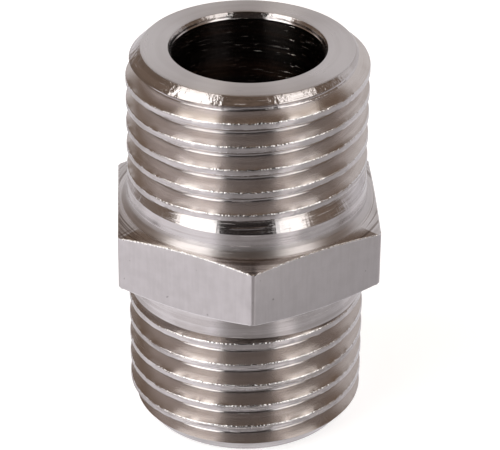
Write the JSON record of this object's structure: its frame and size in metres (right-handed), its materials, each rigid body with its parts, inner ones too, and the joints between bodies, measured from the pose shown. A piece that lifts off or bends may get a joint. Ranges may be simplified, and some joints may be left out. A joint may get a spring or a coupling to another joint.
{
  "type": "hex nipple",
  "caption": "Straight pipe nipple: a hexagon between equal male pipe threads, with a bore right through.",
  "frame": {"origin": "on the axis of the bore, halfway between the two end faces", "axes": "+Z along the bore towards the upper end, whose thread runs out on a cone above a plain collar; +X square to a pair of the hexagon's flats; a corner of the hexagon on -Y"},
  "size_m": [0.014, 0.016, 0.022],
  "materials": {
    "nickel_plated_brass": "bright nickel plating over turned brass: fine turning lines round the threads, cones and collars, drawn lines along the flats"
  },
  "bodies": {
    "root": {"nipple_body": "nickel_plated_brass"}
  },
  "joints": []
}
